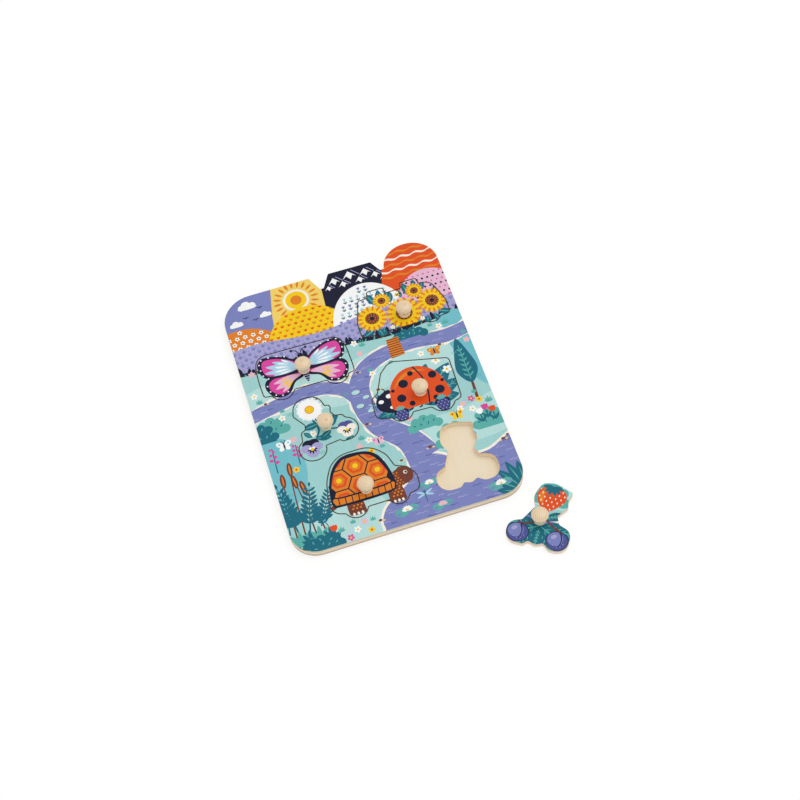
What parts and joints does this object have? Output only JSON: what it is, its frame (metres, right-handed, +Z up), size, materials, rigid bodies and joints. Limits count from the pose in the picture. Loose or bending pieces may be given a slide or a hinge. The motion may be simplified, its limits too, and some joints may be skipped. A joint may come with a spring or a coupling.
{
  "type": "peg puzzle",
  "caption": "wooden inset puzzle board with lift-out shaped pieces, each with a turned knob, and the loose piece beside it",
  "frame": {"origin": "centre of the board's rectangle at its underside, on the surface that it rests on", "axes": "+X along the board's straight bottom edge, +Y up the picture, +Z up out of the printed face"},
  "size_m": [0.2535, 0.3709, 0.0223],
  "materials": {
    "plywood": "sanded pale plywood",
    "turned_wood": "turned and sanded",
    "aqua_print": "satin print on plywood",
    "yellow_print": "satin print on plywood",
    "magenta_print": "satin print on plywood",
    "red_orange_print": "satin print on plywood",
    "cream_print": "satin print on plywood",
    "orange_print": "satin print on plywood",
    "teal_print": "satin print on plywood"
  },
  "bodies": {
    "board": {"backing_board": "plywood", "frame_board": "aqua_print"},
    "upper_right": {"upper_right_piece": "yellow_print", "upper_right_knob": "turned_wood"},
    "upper_left": {"upper_left_piece": "magenta_print", "upper_left_knob": "turned_wood"},
    "middle_right": {"middle_right_piece": "red_orange_print", "middle_right_knob": "turned_wood"},
    "middle_left": {"middle_left_piece": "cream_print", "middle_left_knob": "turned_wood"},
    "lower_left": {"lower_left_piece": "orange_print", "lower_left_knob": "turned_wood"},
    "lower_right": {"lower_right_piece": "teal_print", "lower_right_knob": "turned_wood"}
  },
  "joints": [
    {"name": "upper_right_lift", "type": "slide", "parent": "board", "child": "upper_right", "axis": [0, 0, 1], "range_m": [0, 0.03]},
    {"name": "upper_left_lift", "type": "slide", "parent": "board", "child": "upper_left", "axis": [0, 0, 1], "range_m": [0, 0.03]},
    {"name": "middle_right_lift", "type": "slide", "parent": "board", "child": "middle_right", "axis": [0, 0, 1], "range_m": [0, 0.03]},
    {"name": "middle_left_lift", "type": "slide", "parent": "board", "child": "middle_left", "axis": [0, 0, 1], "range_m": [0, 0.03]},
    {"name": "lower_left_lift", "type": "slide", "parent": "board", "child": "lower_left", "axis": [0, 0, 1], "range_m": [0, 0.03]},
    {"name": "lower_right_lift", "type": "slide", "parent": "board", "child": "lower_right", "axis": [0, 0, 1], "range_m": [0, 0.03]}
  ]
}
